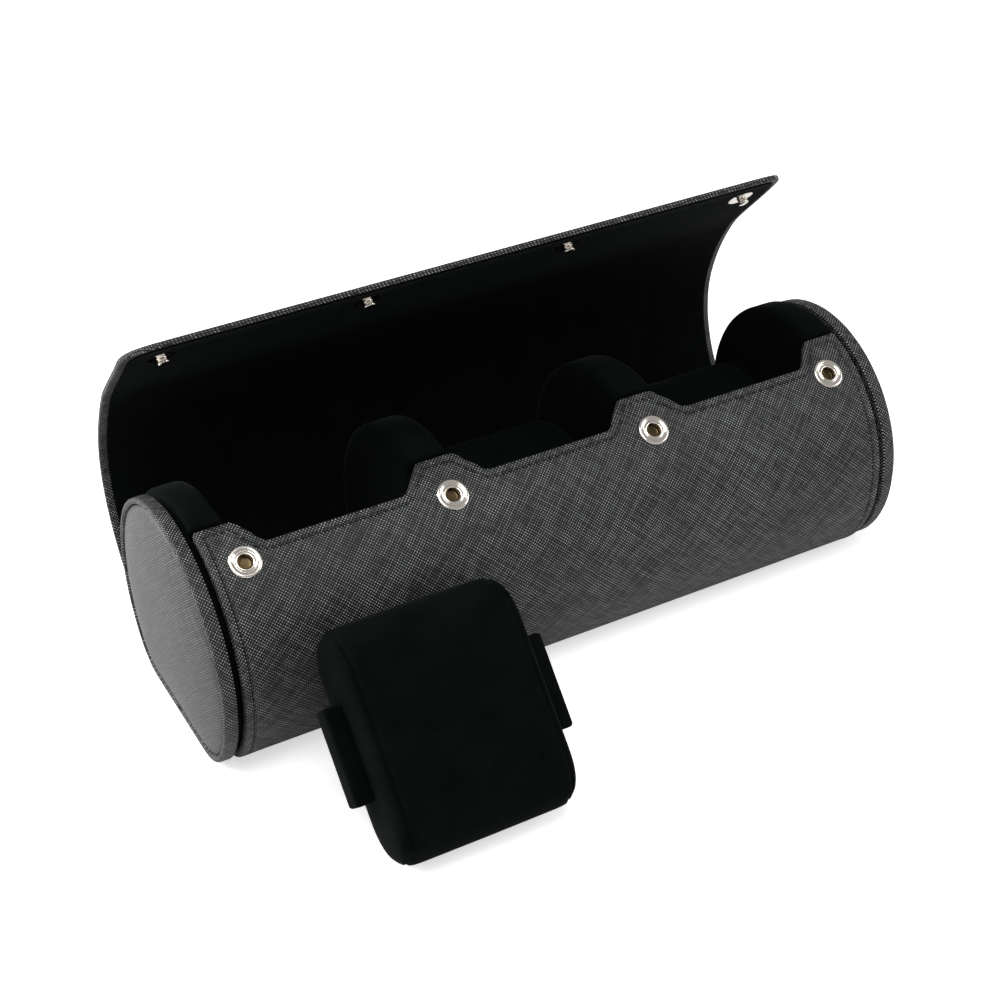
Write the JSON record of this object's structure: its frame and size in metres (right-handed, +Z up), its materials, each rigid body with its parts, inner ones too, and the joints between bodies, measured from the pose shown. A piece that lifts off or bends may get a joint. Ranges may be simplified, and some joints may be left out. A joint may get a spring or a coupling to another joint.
{
  "type": "watch travel case",
  "caption": "Roll-shaped leather watch travel case with velvet compartments, removable watch pillows and a wrap-over lid that snaps shut on the front.",
  "frame": {"origin": "middle of the flat base on the surface that the case stands on", "axes": "+X along the roll to the viewer's right, -Y towards the front with the snap tabs, +Z up"},
  "size_m": [0.235, 0.161, 0.1142],
  "materials": {
    "saffiano": "cross-grained calf-type leather, satin",
    "fine_leather": "fine-grained leather, satin",
    "velvet": "short-pile black velvet, matt",
    "board": "grey-brown millboard, matt",
    "foam": "dense charcoal foam, matt",
    "nickel": "polished nickel plate",
    "spring_brass": "spring brass wire, dull"
  },
  "bodies": {
    "case": {"body_board": "board", "body_leather": "saffiano", "body_lining": "velvet", "hinge_welt": "saffiano", "end_block_left": "velvet", "end_block_right": "velvet", "divider_left": "velvet", "divider_right": "velvet", "end_board_left": "board", "end_foam_left": "foam", "end_face_left": "fine_leather", "end_band_left": "saffiano", "end_board_right": "board", "end_foam_right": "foam", "end_face_right": "fine_leather", "end_band_right": "saffiano", "snap_sockets": "nickel", "snap_socket_backs": "nickel", "snap_springs": "spring_brass"},
    "lid_root": {"lid_root_leather": "saffiano", "lid_root_board": "board", "lid_root_lining": "velvet"},
    "lid_back": {"lid_back_leather": "saffiano", "lid_back_board": "board", "lid_back_lining": "velvet"},
    "lid_crown": {"lid_crown_leather": "saffiano", "lid_crown_board": "board", "lid_crown_lining": "velvet"},
    "lid_flap": {"lid_flap_leather": "saffiano", "lid_flap_board": "board", "lid_flap_lining": "velvet", "snap_studs": "nickel", "snap_stud_backs": "nickel"},
    "loose_pillow": {"loose_pillow_core": "foam", "loose_pillow_cover": "velvet", "loose_pillow_ends": "velvet", "loose_pillow_wings": "velvet"},
    "middle_pillow": {"middle_pillow_core": "foam", "middle_pillow_cover": "velvet", "middle_pillow_ends": "velvet", "middle_pillow_wings": "velvet"},
    "right_pillow": {"right_pillow_core": "foam", "right_pillow_cover": "velvet", "right_pillow_ends": "velvet", "right_pillow_wings": "velvet"}
  },
  "joints": [
    {"name": "lid_hinge", "type": "hinge", "parent": "case", "child": "lid_root", "pos_m": [0, 0.03373, 0.00452], "axis": [-1, 0, 0], "range_deg": [-31.5, 6]},
    {"name": "lid_back_bend", "type": "hinge", "parent": "lid_root", "child": "lid_back", "pos_m": [0, 0.05987, 0.03061], "axis": [-1, 0, 0], "range_deg": [-2.5, 0.48]},
    {"name": "lid_crown_bend", "type": "hinge", "parent": "lid_back", "child": "lid_crown", "pos_m": [0, 0.05728, 0.07089], "axis": [-1, 0, 0], "range_deg": [-15, 2.86]},
    {"name": "lid_flap_bend", "type": "hinge", "parent": "lid_crown", "child": "lid_flap", "pos_m": [0, 0.03805, 0.09553], "axis": [-1, 0, 0], "range_deg": [-35, 5]},
    {"name": "middle_pillow_turn", "type": "hinge", "parent": "case", "child": "middle_pillow", "pos_m": [0, 0, 0.03349], "axis": [1, 0, 0], "range_deg": [-40, 40]},
    {"name": "right_pillow_turn", "type": "hinge", "parent": "case", "child": "right_pillow", "pos_m": [0.07, 0, 0.03349], "axis": [1, 0, 0], "range_deg": [-40, 40]},
    {"name": "loose_pillow_lift", "type": "slide", "parent": "case", "child": "loose_pillow", "axis": [0, -0.7071, 0.7071], "range_m": [0, 0.05]}
  ],
  "couplings": [
    {"joint": "lid_back_bend", "follows": "lid_hinge", "ratio": 0.079365},
    {"joint": "lid_crown_bend", "follows": "lid_hinge", "ratio": 0.47619}
  ]
}
